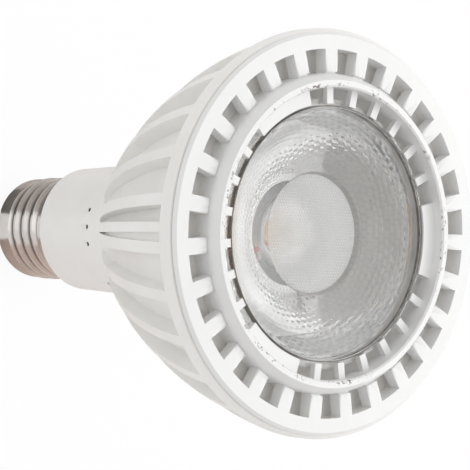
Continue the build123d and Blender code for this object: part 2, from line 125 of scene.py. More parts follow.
class ScrewCapSettings(bpy.types.PropertyGroup):
    """Sizes of the rolled screw shell."""

    pitch: length("Pitch", "Rise of one thread turn", 0.00362)
    depth: length("Depth", "Height of a crest above a root", 0.00105)
    skirt: length("Skirt", "Plain length beside the neck", 0.0032)
    first_crest: length("First crest", "Distance from the neck to the first crest", 0.0063)
    crest_turn: angle("Crest turn", "Side of the cap where the first crest lies", 180.0)
    rim: length("Rim", "Turned-in edge beside the neck", 0.00045)
    nose: length("Nose", "Length of the turned-in end", 0.0026)
    nose_draw: length("Nose draw", "How far the end is turned in", 0.00165)
    nose_fullness: number("Nose fullness", "How squarely the end turns in", 3.5)
    end_share: number("End share", "Height of the plain end between root and crest", 0.7, subtype="FACTOR")
    wall: length("Wall", "Thickness of the sheet", 0.00035)
    around: count("Around", "Mesh columns round the shell", 144, 24)
    along: count("Along", "Mesh rows along the shell", 124, 24)


class LensSettings(bpy.types.PropertyGroup):
    """Sizes of the lens's facets and of its textured centre."""

    columns: count("Columns", "Scale facets round the flared side", 72, 12)
    rows: count("Rows", "Scale facets along the flared side", 15, 4)
    facet_steps: count("Facet steps", "Mesh steps across one facet", 4, 2)
    dish_steps: count("Dish steps", "Mesh steps across the dished front", 20, 4)
    crown_steps: count("Crown steps", "Mesh steps up the hollow's crown", 10, 3)
    facet_rise: length("Facet rise", "Height of a scale facet", 0.00012)
    cell_pitch: length("Cell pitch", "Distance between the cells of the centre disc", 0.0008)
    cell_rise: length("Cell rise", "Height of a cell of the centre disc", 0.00020)
    dish_depth: length("Dish depth", "Depth of the dished front", 0.0032)
    dish_sag: length("Dish sag", "How far the dish bows below a cone", 0.0006)
    disc_radius: length("Disc radius", "Radius of the textured centre", 0.0139)
    well_depth: length("Well depth", "How far the centre is sunk below the dish", 0.0013)
    well_draft: length("Well draft", "Slope of the well's wall", 0.0005)
    land: length("Land", "Flat ring between the dish and the raised rim", 0.0009)
    rim_radius: length("Rim radius", "Outer radius of the raised rim", 0.02975)
    rim_width: length("Rim width", "Thickness of the raised rim", 0.0005)
    rim_height: length("Rim height", "Height of the raised rim above the land", 0.0018)
    flange_drop: length("Flange drop", "Drop from the rim to the flange", 0.0012)
    flange: length("Flange", "Thickness of the flange", 0.0020)
    flange_width: length("Flange width", "How far the flange stands out from the side", 0.00215)
    foot_radius: length("Foot radius", "Radius of the foot in its socket", 0.0127)
    foot_height: length("Foot height", "Height of the foot in its socket", 0.0040)
    flare_bulge: length("Flare bulge", "How far the flared side bows out", 0.0030)
    cavity_radius: length("Cavity radius", "Radius of the hollow over the emitter", 0.0094)
    cavity_depth: length("Cavity depth", "Straight depth of that hollow", 0.0016)
    cavity_crown: length("Cavity crown", "Rise of the hollow's crown", 0.0084)


class CastingSettings(bpy.types.PropertyGroup):
    """Rounding of the moulded and cast edges."""

    sink_edge: length("Heat sink edge", "Rounding of the casting's edges", 0.00045)
    bezel_edge: length("Bezel edge", "Rounding of the bezel's edges", 0.00022)
    neck_edge: length("Neck edge", "Rounding of the neck's edges", 0.00012)
    small_edge: length("Small edge", "Rounding of the inner pieces", 0.00010)
    crease: angle("Crease", "Edges sharper than this are rounded", 32.0)


class BezelSettings(bpy.types.PropertyGroup):
    """Groove between the bezel's spokes and its raised lip, and the place of the marks on the lip."""

    lip_radius: length("Lip radius", "Radius at the foot of the raised lip", 0.0371)
    face: length("Face", "Height of the spokes' front", 0.0930)
    groove_width: length("Groove width", "Gap between a spoke's end and the lip", 0.00035)
    groove_depth: length("Groove depth", "Depth of that gap", 0.0006)
    groove_columns: count("Groove columns", "Mesh columns round that gap", 216, 24)
    marks_inside: length("Marks inside", "Radius where the marks on the lip begin", 0.0333)
    marks_outside: length("Marks outside", "Radius where the marks on the lip end", 0.0352)
    marks_height: length("Marks height", "Height where the marks on the lip begin", 0.0944)


class EmitterSettings(bpy.types.PropertyGroup):
    """Sizes of the poured phosphor layer."""

    spread: length("Spread", "Radius that the phosphor layer covers", 0.0085)
    layer: length("Layer", "Thickness of that layer at its edge", 0.00085)
    crown: length("Crown", "Rise of the layer towards its middle", 0.00015)
    around: count("Around", "Mesh columns round the layer", 96, 12)
    edge_steps: count("Edge steps", "Mesh steps over the rounded edge", 6, 2)


class VentSettings(bpy.types.PropertyGroup):
    """Places of the neck's small vents and their moulded scoops."""

    height: length("Height", "Height of the vents above the neck's shoulder", 0.0215)
    groups: count("Groups", "Groups of vents round the neck", 5, 1)
    row: count("Row", "Vents in a group", 3, 1)
    spacing: angle("Spacing", "Angle between the vents of a group", 15.0)
    turn: angle("Turn", "Side of the neck where the first group lies", 180.0)
    scoop_length: length("Scoop length", "Length of the scoop beside a vent", 0.0030)
    scoop_width: length("Scoop width", "Width of that scoop", 0.0012)
    scoop_depth: length("Scoop depth", "Depth of that scoop", 0.0003)
    # Painted shade: deeper in a vent than this, its inside is coloured near-black
    vent_shade_depth: length("Dust depth", "Depth in a vent where dust has settled", 0.00027)


class FinishSettings(bpy.types.PropertyGroup):
    """Colours of the finishes."""

    coating: colour("Coating", "White coat of the heat sink", (0.88, 0.868, 0.845))
    neck: colour("Neck", "White plastic of the neck", (0.87, 0.853, 0.83))
    bezel: colour("Bezel", "White plastic of the bezel", (0.83, 0.83, 0.822))
    # Painted shade: the near-black colour painted inside the neck's vents
    dust: colour("Dust", "Dark inside of the neck's vents", (0.02, 0.018, 0.016))
    scuff: colour("Scuff", "Marks worn along the bezel's lip", (0.16, 0.14, 0.13))
    nickel: colour("Nickel", "Plating of the screw shell", (0.66, 0.63, 0.60))
    # Painted shade: the dark line of the gap round the lens's raised rim
    lens_rim_shade: colour("Lens edge", "Dark outer edge of the lens's raised rim", (0.035, 0.026, 0.02))
    phosphor: colour("Phosphor", "Light-turning layer of the emitter", (0.85, 0.46, 0.10))


class StageSettings(bpy.types.PropertyGroup):
    """Camera, lights and floor."""

    camera_place: FloatVectorProperty(
        name="Camera place",
        description="Where the camera stands",
        default=(-0.4375, -0.0151, 0.5732),
        subtype="XYZ",
    )
    camera_turn: angle("Camera turn", "How far the camera stands round the lamp's face", 40.38)
    camera_tilt: angle("Camera tilt", "How far the camera looks down on the face", -1.22)
    camera_roll: angle("Camera roll", "Roll of the picture", -2.64)
    focal_length: number("Focal length", "Lens of the camera in mm", 215.5)
    sensor_width: number("Sensor width", "Width of the camera's sensor in mm", 36.0)
    clip_end: number("Clip end", "Distance in metres that the camera sees", 50.0)
    key_power: number("Key power", "Power of the key light", 1.6, unit="POWER")
    right_power: number("Right power", "Power of the right light", 5.0, unit="POWER")
    side_power: number("Side power", "Power of the side light", 0.5, unit="POWER")
    fill: number("Fill", "Level of the surrounding light", 0.77)
    floor_span: length("Floor span", "Width of the floor", 6.0)
    floor_glow: number("Floor glow", "Share of the floor shown as plain white", 0.93, subtype="FACTOR")


class BulbSettings(bpy.types.PropertyGroup):
    """All the settings of the bulb."""

    cap: PointerProperty(type=ScrewCapSettings)
    lens: PointerProperty(type=LensSettings)
    casting: PointerProperty(type=CastingSettings)
    bezel: PointerProperty(type=BezelSettings)
    emitter: PointerProperty(type=EmitterSettings)
    vents: PointerProperty(type=VentSettings)
    finish: PointerProperty(type=FinishSettings)
    stage: PointerProperty(type=StageSettings)


def smooth_step(low, high, value):
    """Runs smoothly from 0 at low to 1 at high."""
    share = min(1.0, max(0.0, (value - low) / (high - low)))
    return share * share * (3 - 2 * share)


def mix(first, second, share):
    """The value that lies a share of the way from first to second."""
    return first + (second - first) * share


def arc_points(start, middle, end, steps):
    """Points of the circular arc through three (radius, height) points."""
    (ax, ay), (bx, by), (cx, cy) = start, middle, end
    scale = 2 * (ax * (by - cy) + bx * (cy - ay) + cx * (ay - by))
    a, b, c = ax * ax + ay * ay, bx * bx + by * by, cx * cx + cy * cy
    ox = (a * (by - cy) + b * (cy - ay) + c * (ay - by)) / scale
    oy = (a * (cx - bx) + b * (ax - cx) + c * (bx - ax)) / scale
    radius = math.hypot(ax - ox, ay - oy)
    first = math.atan2(ay - oy, ax - ox)
    to_middle = (math.atan2(by - oy, bx - ox) - first) % TURN
    sweep = (math.atan2(cy - oy, cx - ox) - first) % TURN
    if to_middle > sweep:
        sweep -= TURN
    turns = [first + sweep * i / steps for i in range(steps + 1)]
    return [(ox + radius * math.cos(t), oy + radius * math.sin(t)) for t in turns]


def polar(radius, turn, height):
    """A point at a radius and an angle round the lamp's axis."""
    return Vector((radius * math.cos(turn), radius * math.sin(turn), height))


def lathe(bm, stations, columns):
    """Joins rings of points round the axis; each station gives (radius, height) at an angle."""
    turns = [TURN * i / columns for i in range(columns)]
    rows = []
    for station in stations:
        row = []
        for turn in turns:
            radius, height = station(turn)
            row.append(bm.verts.new(polar(radius, turn, height)))
        rows.append(row)
    for low, high in zip(rows, rows[1:]):
        for i in range(columns):
            j = (i + 1) % columns
            bm.faces.new((low[i], low[j], high[j], high[i]))
    return rows


def plain(point):
    """A station that is the same all round."""
    return lambda turn: point


def cap_ring(bm, row, height):
    """Closes a ring with a fan to a point on the axis."""
    tip = bm.verts.new((0, 0, height))
    for i, vert in enumerate(row):
        bm.faces.new((vert, row[(i + 1) % len(row)], tip))


def piece_from(bm, name, crease):
    """Turns a finished bmesh into a smooth object with sharp creases."""
    bmesh.ops.recalc_face_normals(bm, faces=bm.faces)
    mesh = bpy.data.meshes.new(name)
    bm.to_mesh(mesh)
    bm.free()
    mesh.shade_smooth()
    mesh.set_sharp_from_angle(angle=crease)
    piece = bpy.data.objects.new(name, mesh)
    bpy.context.scene.collection.objects.link(piece)
    return piece


def hidden_cutter(bm, name, crease):
    """A piece that only cuts another one."""
    cutter = piece_from(bm, name, crease)
    cutter.hide_render = True
    cutter.hide_viewport = True
    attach(cutter, BODY)
    return cutter


def stand_in(piece, node):
    """Puts a new piece in a node's place."""
    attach(piece, BODY)
    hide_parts(node)


def paint(piece, material):
    """Gives a piece one material."""
    piece.data.materials.clear()
    piece.data.materials.append(material)


def crease_group():
    """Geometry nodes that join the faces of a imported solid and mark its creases."""
    name = "join_and_crease"
    if name in bpy.data.node_groups:
        return bpy.data.node_groups[name]
    group = bpy.data.node_groups.new(name, "GeometryNodeTree")
    for way in ("INPUT", "OUTPUT"):
        group.interface.new_socket("Geometry", in_out=way, socket_type="NodeSocketGeometry")
    add, link = group.nodes.new, group.links.new
    entry, leave = add("NodeGroupInput"), add("NodeGroupOutput")
    merge = add("GeometryNodeMergeByDistance")
    merge.inputs["Distance"].default_value = JOIN_DISTANCE
    edge_angle = add("GeometryNodeInputMeshEdgeAngle")
    sharper = add("FunctionNodeCompare")
    sharper.operation = "GREATER_THAN"
    sharper.inputs["B"].default_value = JOIN_CREASE
    normals = add("GeometryNodeSetMeshNormal")
    normals.mode = "SHARPNESS"
    normals.inputs["Remove Custom"].default_value = True
    link(entry.outputs["Geometry"], merge.inputs["Geometry"])
    link(merge.outputs["Geometry"], normals.inputs["Mesh"])
    link(edge_angle.outputs["Unsigned Angle"], sharper.inputs["A"])
    link(sharper.outputs["Result"], normals.inputs["Edge Sharpness"])
    link(normals.outputs["Mesh"], leave.inputs["Geometry"])
    return group


def join_faces(piece):
    """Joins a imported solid's faces, so that its edges can be rounded."""
    modifier = piece.modifiers.new("join", "NODES")
    modifier.node_group = crease_group()


def round_edges(piece, width, crease, segments=2):
    """Rounds a piece's creases in geometry and evens its shading."""
    bevel = piece.modifiers.new("round", "BEVEL")
    bevel.width = width
    bevel.segments = segments
    bevel.limit_method = "ANGLE"
    bevel.angle_limit = crease
    bevel.use_clamp_overlap = True
    bevel.miter_outer = "MITER_ARC"
    weld = piece.modifiers.new("weld", "WELD")
    weld.merge_threshold = WELD_DISTANCE
    normals = piece.modifiers.new("even", "WEIGHTED_NORMAL")
    normals.keep_sharp = True


def dress(node, material, width, crease, segments=2, cutter=None):
    """Joins, cuts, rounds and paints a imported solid."""
    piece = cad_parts[node]
    join_faces(piece)
    if cutter:
        cut = piece.modifiers.new(cutter.name, "BOOLEAN")
        cut.operation = "DIFFERENCE"
        cut.object = cutter
    round_edges(piece, width, crease, segments)
    paint(piece, material)


class Finish:
    """A material under construction: one Principled shader and the nodes that feed it."""

    def __init__(self, name):
        self.material = bpy.data.materials.new(name)
        self.material.use_nodes = True
        self.tree = self.material.node_tree
        self.shader = self.tree.nodes["Principled BSDF"]
        self.place = self.add("ShaderNodeTexCoord").outputs["Object"]

    def add(self, kind, **values):
        """Adds a node and sets its attributes."""
        node = self.tree.nodes.new(kind)
        for key, value in values.items():
            setattr(node, key, value)
        return node

    def link(self, source, target):
        """Joins an output to an input."""
        self.tree.links.new(source, target)

    def set(self, **values):
        """Sets constant sockets of the shader, with spaces written as underscores."""
        for key, value in values.items():
            self.shader.inputs[key.replace("_", " ")].default_value = value

    def stretched(self, stretch):
        """Object coordinates with each axis stretched."""
        node = self.add("ShaderNodeMapping")
        node.inputs["Scale"].default_value = stretch
        self.link(self.place, node.inputs["Vector"])
        return node.outputs["Vector"]

    def noise(self, size, detail=3.0, rough=0.5, stretch=None):
        """Noise whose features are about size metres across."""
        node = self.add("ShaderNodeTexNoise")
        node.inputs["Scale"].default_value = 1 / size
        node.inputs["Detail"].default_value = detail
        node.inputs["Roughness"].default_value = rough
        self.link(self.stretched(stretch) if stretch else self.place, node.inputs["Vector"])
        return node.outputs["Fac"]

    def ramp(self, value, low, high, to_low=0.0, to_high=1.0):
        """Maps a range of a value to another range, clamped."""
        node = self.add("ShaderNodeMapRange")
        for key, number in zip(("From Min", "From Max", "To Min", "To Max"), (low, high, to_low, to_high)):
            node.inputs[key].default_value = number
        self.link(value, node.inputs["Value"])
        return node.outputs["Result"]

    def combine(self, operation, first, second):
        """Two values put together by a math operation."""
        node = self.add("ShaderNodeMath", operation=operation)
        self.link(first, node.inputs[0])
        self.link(second, node.inputs[1])
        return node.outputs["Value"]

    def multiply(self, first, second):
        """The product of two values."""
        return self.combine("MULTIPLY", first, second)

    def blend(self, share, first, second):
        """A colour between two colours; each is an output or a plain colour."""
        node = self.add("ShaderNodeMix", data_type="RGBA")
        self.link(share, node.inputs["Factor"])
        for key, tint in (("A", first), ("B", second)):
            target = [s for s in node.inputs if s.name == key and s.type == "RGBA"][0]
            if isinstance(tint, bpy.types.NodeSocket):
                self.link(tint, target)
            else:
                target.default_value = (*tint, 1.0)
        return [s for s in node.outputs if s.type == "RGBA"][0]

    def radius(self):
        """Distance from the lamp's axis."""
        flat = self.stretched((1.0, 1.0, 0.0))
        node = self.add("ShaderNodeVectorMath", operation="LENGTH")
        self.link(flat, node.inputs[0])
        return node.outputs["Value"]

    def height(self):
        """Height along the lamp's axis."""
        node = self.add("ShaderNodeSeparateXYZ")
        self.link(self.place, node.inputs["Vector"])
        return node.outputs["Z"]

    def bump(self, height, distance):
        """Roughens the surface by a height value of so many metres."""
        node = self.add("ShaderNodeBump")
        node.inputs["Distance"].default_value = distance
        self.link(height, node.inputs["Height"])
        self.link(node.outputs["Normal"], self.shader.inputs["Normal"])

    def mottle(self, tint, size, variation):
        """A colour with broad, soft mottling that is darker by a share."""
        broad = self.ramp(self.noise(size, detail=2.0), *BROAD_NOISE)
        return self.blend(broad, shaded(tint, variation), tint)

    def grain(self, size, least, most, rise, rough=0.6):
        """Fine grain in the roughness, from least to most, and in the surface."""
        fine = self.noise(size, rough=rough)
        self.roughness(self.ramp(fine, *FINE_NOISE, least, most))
        self.bump(fine, rise)

    def tint(self, source):
        """Feeds the base colour."""
        self.link(source, self.shader.inputs["Base Color"])

    def roughness(self, source):
        """Feeds the roughness."""
        self.link(source, self.shader.inputs["Roughness"])


def shaded(tint, share):
    """A colour made darker by a share."""
    return tuple(c * (1 - share) for c in tint)


def mottled(name, tint, roughness, grain, rise, variation, mottle):
    """A moulded or coated finish: broad soft mottling, fine grain and a rough sheen."""
    finish = Finish(name)
    finish.tint(finish.mottle(tint, mottle, variation))
    spread = 0.06
    finish.grain(grain, roughness - spread, roughness + spread, rise)
    return finish


def coat_finish(tint):
    """Baked white coat over the casting, with a faint orange peel."""
    finish = mottled("white_coating", tint, 0.46, grain=0.0009, rise=0.00003, variation=0.035, mottle=0.012)
    finish.set(Specular_IOR_Level=0.42)
    return finish.material


def neck_finish(tint, dust, shade_depth):
    """Satin white plastic of the neck, with painted shade: near-black colour down inside its vents."""
    finish = Finish("neck_plastic")
    body = finish.mottle(tint, size=0.009, variation=0.03)
    # Painted shade: more than a set depth under the neck's outer surface, inside the vents, the colour turns
    # near-black
    surface = finish.ramp(finish.height(), 0.0, SINK_LOW.z, NECK_REAR_RADIUS, NECK_HIGH.x)
    below = finish.combine("SUBTRACT", surface, finish.radius())
    hidden = finish.ramp(below, shade_depth, shade_depth + SOFT_EDGE)
    finish.tint(finish.blend(hidden, body, dust))
    finish.grain(size=0.0005, least=0.32, most=0.44, rise=0.000012)
    finish.set(Specular_IOR_Level=0.45)
    return finish.material


def bezel_finish(tint, scuff, sizes):
    """White plastic of the bezel, scuffed along the raised lip."""
    finish = Finish("bezel_plastic")
    body = finish.mottle(tint, size=0.010, variation=0.02)
    radius = finish.radius()
    inner_fade, fade = 0.0005, 0.0006
    lip_inside = finish.ramp(radius, sizes.marks_inside, sizes.marks_inside + inner_fade)
    lip_outside = finish.ramp(radius, sizes.marks_outside, sizes.marks_outside - fade)
    lip_height = finish.ramp(finish.height(), sizes.marks_height, sizes.marks_height + fade)
    on_lip = finish.multiply(finish.multiply(lip_inside, lip_outside), lip_height)
    patches = finish.ramp(finish.noise(size=0.013, detail=2.0), low=0.44, high=0.58)
    spots = finish.noise(size=0.0011, detail=2.0, rough=0.6, stretch=(1.0, 1.0, 2.0))
    specks = finish.ramp(spots, low=0.57, high=0.63)
    marks = finish.multiply(on_lip, finish.multiply(patches, specks))
    finish.tint(finish.blend(marks, body, scuff))
    finish.grain(size=0.0006, least=0.30, most=0.40, rise=0.00001, rough=0.5)
    finish.set(Specular_IOR_Level=0.45)
    return finish.material


def plated_finish(name, tint, roughness, root=None):
    """Bright plated metal with fine marks that run round it; near a root radius it is darkened with painted
    shade.
    """
    finish = Finish(name)
    stained, root_shade_tint, streak = shaded(tint, 0.16), shaded(tint, 0.75), 0.10
    marks = finish.noise(size=0.004, detail=4.0, rough=0.65, stretch=(1.0, 1.0, 22.0))
    stain = finish.ramp(finish.noise(size=0.007), low=0.35, high=0.7)
    body = finish.blend(stain, tint, stained)
    # Painted shade: the colour darkens strongly towards the thread's root radius
    if root:
        root_shade = finish.ramp(finish.radius(), low=root + 0.0004, high=root + 0.00005)
        body = finish.blend(root_shade, body, root_shade_tint)
    finish.tint(body)
    finish.roughness(finish.ramp(marks, *FINE_NOISE, roughness, roughness + streak))
    finish.bump(marks, distance=0.000006)
    finish.set(Metallic=1.0)
    return finish.material


def lens_finish(lens, level, rim_shade_tint):
    """Clear moulded plastic: a hazed, textured centre disc with painted shade in its cells' valleys, and
    painted shade as a dark outer edge on the raised rim.
    """
    finish = Finish("clear_lens")
    radius, height = finish.radius(), finish.height()
    clear, valley_shade_tint = (0.95, 0.95, 0.945), (0.55, 0.55, 0.55)
    above_hollow = finish.ramp(height, low=0.080, high=0.081)
    disc = finish.ramp(radius, lens.disc_radius, lens.disc_radius - SOFT_EDGE)
    disc = finish.multiply(disc, above_hollow)
    flange_top = LENS_HIGH.z - lens.flange_drop
    # Painted shade: the rim's outer part, above the flange, is coloured near-black like the shadowed gap
    # beside it
    edge = finish.ramp(radius, low=lens.rim_radius - 0.0004, high=lens.rim_radius - 0.0003)
    edge = finish.multiply(edge, finish.ramp(height, flange_top, flange_top + SOFT_EDGE))
    # Painted shade: the centre disc's colour is darker down in the valleys between its cells
    valley_shade = finish.ramp(height, low=level + 0.00006, high=level - 0.00004)
    body = finish.blend(finish.multiply(disc, valley_shade), clear, valley_shade_tint)
    finish.tint(finish.blend(edge, body, rim_shade_tint))
    haze = finish.ramp(finish.noise(size=0.004), low=0.45, high=0.75, to_high=0.03)
    frost = finish.ramp(disc, 0.0, 1.0, to_high=0.45)
    finish.roughness(finish.combine("MAXIMUM", haze, frost))
    groove = finish.add("ShaderNodeAttribute", attribute_name="groove").outputs["Fac"]
    groove_veil = finish.ramp(groove, low=0.65, high=1.0, to_low=0.09, to_high=0.22)
    disc_veil = finish.ramp(disc, 0.0, 1.0, to_high=0.50)
    veil = finish.combine("MAXIMUM", groove_veil, disc_veil)
    clearness = finish.ramp(veil, 0.0, 1.0, to_low=1.0, to_high=0.0)
    finish.link(clearness, finish.shader.inputs["Transmission Weight"])
    finish.set(IOR=1.49)
    return finish.material


def phosphor_finish(tint):
    """Grainy orange phosphor in clear silicone."""
    finish = Finish("phosphor")
    grain = finish.noise(size=0.0005)
    finish.tint(finish.blend(finish.ramp(grain, *FINE_NOISE), shaded(tint, 0.15), tint))
    finish.bump(grain, distance=0.00003)
    finish.set(Roughness=0.35, Coat_Weight=0.5, Coat_Roughness=0.1)
    return finish.material


def woven_finish(name, tint, thread):
    """Laminate with the weave of its glass cloth showing."""
    finish = Finish(name)
    wave = finish.add("ShaderNodeTexChecker")
    wave.inputs["Scale"].default_value = 1 / thread
    finish.link(finish.place, wave.inputs["Vector"])
    broad = finish.ramp(finish.noise(size=0.004, detail=2.0), *FINE_NOISE, to_high=0.6)
    cloth = finish.blend(wave.outputs["Fac"], shaded(tint, 0.12), tint)
    finish.tint(finish.blend(broad, cloth, shaded(tint, 0.2)))
    finish.bump(wave.outputs["Fac"], distance=0.00001)
    finish.set(Roughness=0.4)
    return finish.material


# Finishes of the small pieces: slot, colour, roughness, grain in metres and rise of the grain in metres
SMALL_FINISHES = {
    "cap_insulator": ("black_glass", (0.012, 0.012, 0.014), 0.16, 0.0014, 0.00002),
    "lens_holder": ("holder_plastic", (0.90, 0.90, 0.89), 0.34, 0.0006, 0.00001),
    "thermal_pad": ("thermal_sheet", (0.36, 0.38, 0.40), 0.60, 0.0004, 0.00002),
    "led_substrate": ("emitter_plate", (0.78, 0.77, 0.74), 0.38, 0.0005, 0.00001),
    "led_dam": ("dam_silicone", (0.80, 0.74, 0.60), 0.30, 0.0008, 0.00002),
    "transformer_core": ("ferrite", (0.045, 0.045, 0.05), 0.55, 0.0003, 0.00002),
    "transformer_winding": ("winding_tape", (0.72, 0.52, 0.08), 0.30, 0.0016, 0.00003),
    "input_capacitor": ("capacitor_sleeve", (0.03, 0.03, 0.035), 0.28, 0.0010, 0.00001),
    "output_capacitor": ("capacitor_sleeve", (0.03, 0.03, 0.035), 0.28, 0.0010, 0.00001),
    "fuse_resistor": ("resistor_coat", (0.10, 0.22, 0.30), 0.42, 0.0004, 0.00002),
    "filter_choke": ("choke_coat", (0.05, 0.05, 0.05), 0.40, 0.0005, 0.00002),
    "bridge_rectifier": ("chip_epoxy", (0.02, 0.02, 0.022), 0.55, 0.0002, 0.00001),
    "controller_chip": ("chip_epoxy", (0.02, 0.02, 0.022), 0.55, 0.0002, 0.00001),
    "live_wire": ("live_sleeve", (0.30, 0.12, 0.05), 0.35, 0.0006, 0.00001),
    "neutral_wire": ("neutral_sleeve", (0.03, 0.09, 0.36), 0.35, 0.0006, 0.00001),
    "positive_wire": ("positive_sleeve", (0.55, 0.02, 0.02), 0.35, 0.0006, 0.00001),
    "negative_wire": ("negative_sleeve", (0.03, 0.03, 0.03), 0.35, 0.0006, 0.00001),
}


class BULB_OT_screw_cap(bpy.types.Operator):
    """Rolls the threaded screw shell and finishes the end contact."""

    bl_idname = "bulb.screw_cap"
    bl_label = "Screw cap"

    def shell_radius(self, cap, depth, turn):
        """Outer radius at a depth below the neck and an angle round the axis."""
        crest = SHELL_HIGH.x
        root = crest - cap.depth
        if depth <= cap.rim:
            return crest - cap.rim + depth
        total = SHELL_HIGH.z - SHELL_LOW.z
        nose_start = total - cap.nose
        plain_end = mix(root, crest, cap.end_share)
        if depth >= nose_start:
            share = (depth - nose_start) / cap.nose
            full = cap.nose_fullness
            return mix(root - cap.nose_draw, plain_end, (1 - share ** full) ** (1 / full))
        phase = (depth - cap.first_crest) / cap.pitch + (turn - cap.crest_turn) / TURN
        rolled = mix(root, crest, 0.5 + 0.5 * math.cos(TURN * phase))
        rolled = mix(crest, rolled, smooth_step(cap.skirt, cap.skirt + cap.pitch / 2, depth))
        run_out = smooth_step(nose_start - cap.pitch, nose_start - cap.pitch / 2, depth)
        return mix(rolled, plain_end, run_out)

    def execute(self, context):
        settings = context.scene.bulb
        cap, casting = settings.cap, settings.casting
        total = SHELL_HIGH.z - SHELL_LOW.z
        depths = [0.0, cap.rim / 2]
        depths += [mix(cap.rim, total, i / cap.along) for i in range(cap.along + 1)]

        def station(depth):
            return lambda turn: (self.shell_radius(cap, depth, turn), SHELL_HIGH.z - depth)

        bm = bmesh.new()
        lathe(bm, [station(d) for d in depths], cap.around)
        shell = piece_from(bm, "screw_shell_rolled", casting.crease)
        sheet = shell.modifiers.new("sheet", "SOLIDIFY")
        sheet.thickness = cap.wall
        sheet.offset = -1.0
        # Painted shade darkens the plating in the thread's roots
        root = SHELL_HIGH.x - cap.depth
        paint(shell, plated_finish("nickel_plate", settings.finish.nickel, 0.16, root=root))
        stand_in(shell, "screw_shell")
        metal = plated_finish("contact_metal", (0.62, 0.60, 0.56), 0.24)
        dress("centre_contact", metal, casting.small_edge, casting.crease)
        return {"FINISHED"}


class BULB_OT_neck(bpy.types.Operator):
    """Cuts a scoop beside each vent, then rounds and finishes the plastic neck."""

    bl_idname = "bulb.neck"
    bl_label = "Neck"

    def scoop_cutter(self, vents, crease):
        """Hidden blobs that cut a shallow scoop on the cap side of each vent."""
        share = vents.height / SINK_LOW.z
        surface = mix(NECK_REAR_RADIUS, NECK_HIGH.x, share)
        bm = bmesh.new()
        size = Vector((vents.scoop_depth, vents.scoop_width / 2, vents.scoop_length / 2))
        for group in range(vents.groups):
            for i in range(vents.row):
                turn = vents.turn + TURN * group / vents.groups + vents.spacing * (i - (vents.row - 1) / 2)
                middle = polar(surface, turn, vents.height - vents.scoop_length / 2)
                place = Matrix.LocRotScale(middle, Matrix.Rotation(turn, 3, "Z"), size)
                bmesh.ops.create_icosphere(bm, subdivisions=3, radius=1.0, matrix=place)
        return hidden_cutter(bm, "vent_scoops", crease)

    def execute(self, context):
        settings = context.scene.bulb
        casting, finish, vents = settings.casting, settings.finish, settings.vents
        scoops = self.scoop_cutter(vents, casting.crease)
        # The neck's plastic gets painted shade, near-black, down inside its vents
        plastic = neck_finish(finish.neck, finish.dust, vents.vent_shade_depth)
        dress("neck_housing", plastic, casting.neck_edge, casting.crease, cutter=scoops)
        return {"FINISHED"}


class BULB_OT_heat_sink(bpy.types.Operator):
    """Rounds and finishes the ribbed casting."""

    bl_idname = "bulb.heat_sink"
    bl_label = "Heat sink"

    def execute(self, context):
        settings = context.scene.bulb
        casting = settings.casting
        coat = coat_finish(settings.finish.coating)
        dress("heat_sink", coat, casting.sink_edge, casting.crease, segments=3)
        return {"FINISHED"}


class BULB_OT_bezel(bpy.types.Operator):
    """Cuts the groove at the lip's foot, then rounds and finishes the vented bezel."""

    bl_idname = "bulb.bezel"
    bl_label = "Bezel"

    def groove_cutter(self, sizes, crease):
        """Hidden ring that cuts the spokes' ends short of the lip."""
        lip_gap, lip_slope, seam = 0.02 * MM, 0.5 * MM, 0.001 * MM
        inner = sizes.lip_radius + lip_gap
        outer = inner + sizes.groove_width
        low, high = sizes.face - sizes.groove_depth, sizes.face + MM
        ring = [(inner, low), (outer, low), (outer, high), (inner - lip_slope, high), (inner, low)]
        bm = bmesh.new()
        lathe(bm, [plain(p) for p in ring], sizes.groove_columns)
        bmesh.ops.remove_doubles(bm, verts=bm.verts, dist=seam)
        return hidden_cutter(bm, "spoke_groove", crease)

    def execute(self, context):
        settings = context.scene.bulb
        casting, finish = settings.casting, settings.finish
        groove = self.groove_cutter(settings.bezel, casting.crease)
        plastic = bezel_finish(finish.bezel, finish.scuff, settings.bezel)
        dress("front_bezel", plastic, casting.bezel_edge, casting.crease, cutter=groove)
        return {"FINISHED"}


